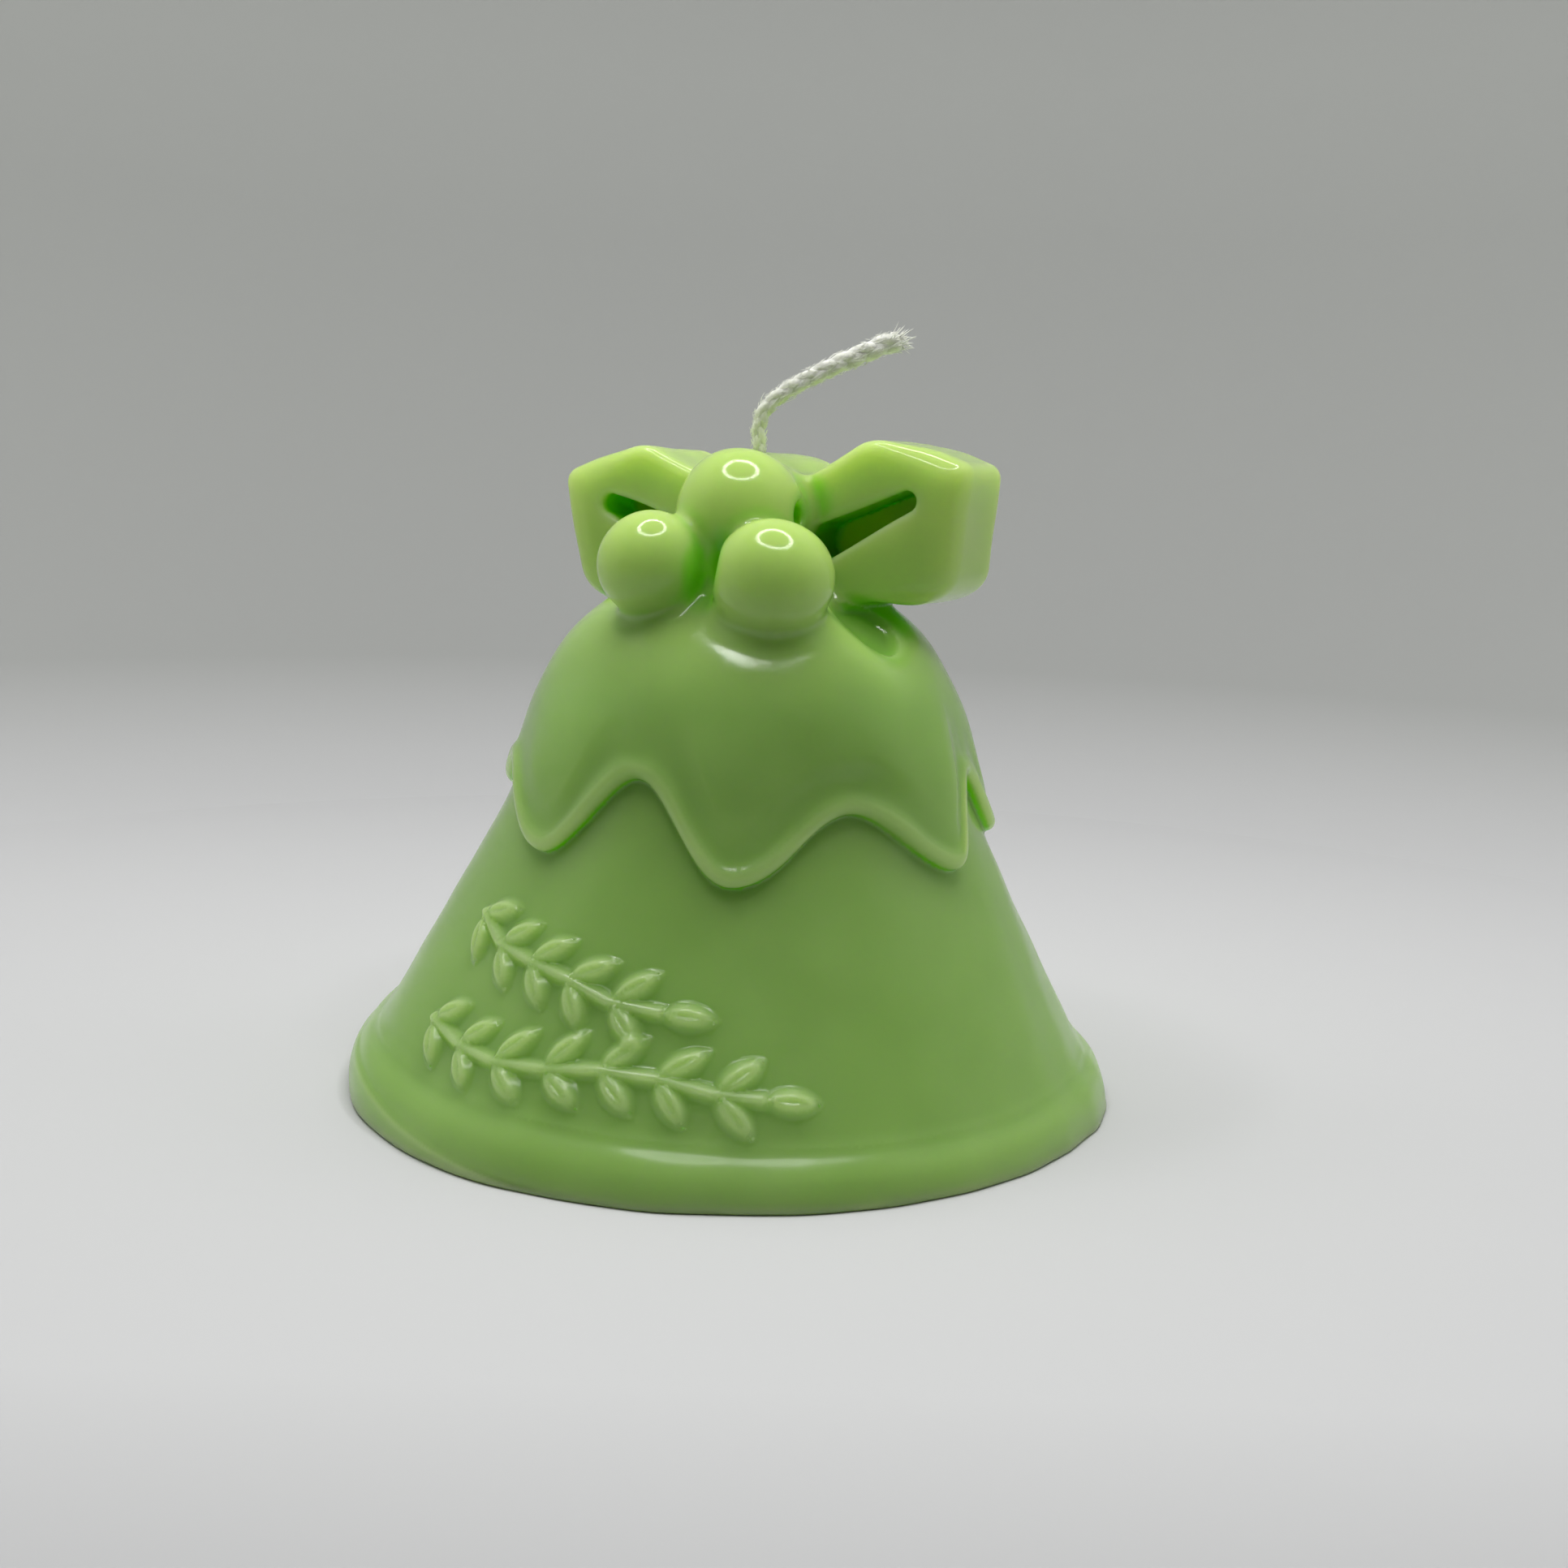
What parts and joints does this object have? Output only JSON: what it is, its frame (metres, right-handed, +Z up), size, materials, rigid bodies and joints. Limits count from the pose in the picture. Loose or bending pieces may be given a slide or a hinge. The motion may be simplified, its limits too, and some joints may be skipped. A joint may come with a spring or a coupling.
{
  "type": "bell-shaped candle",
  "caption": "Decorative wax candle cast as a flared bell, with dripped icing, a berry cluster, a ribbon bow, relief sprigs and a bent cotton wick.",
  "frame": {"origin": "centre of the flat base, on the surface the candle stands on", "axes": "+Z up, -Y to the front with the relief sprigs, +X to the right of the front"},
  "size_m": [0.0799, 0.0799, 0.0786],
  "materials": {
    "wax": "smooth cast wax, pale green, softly glossy and translucent",
    "wick": "braided cotton, white, tinted green by wax at its foot"
  },
  "bodies": {
    "root": {"bell_body": "wax", "base_rim": "wax", "icing_cap": "wax", "berry_upper": "wax", "berry_left": "wax", "berry_right": "wax", "bow_loop_left": "wax", "bow_loop_right": "wax", "bow_knot": "wax", "sprig_upper": "wax", "sprig_lower": "wax", "wick": "wick"}
  },
  "joints": []
}
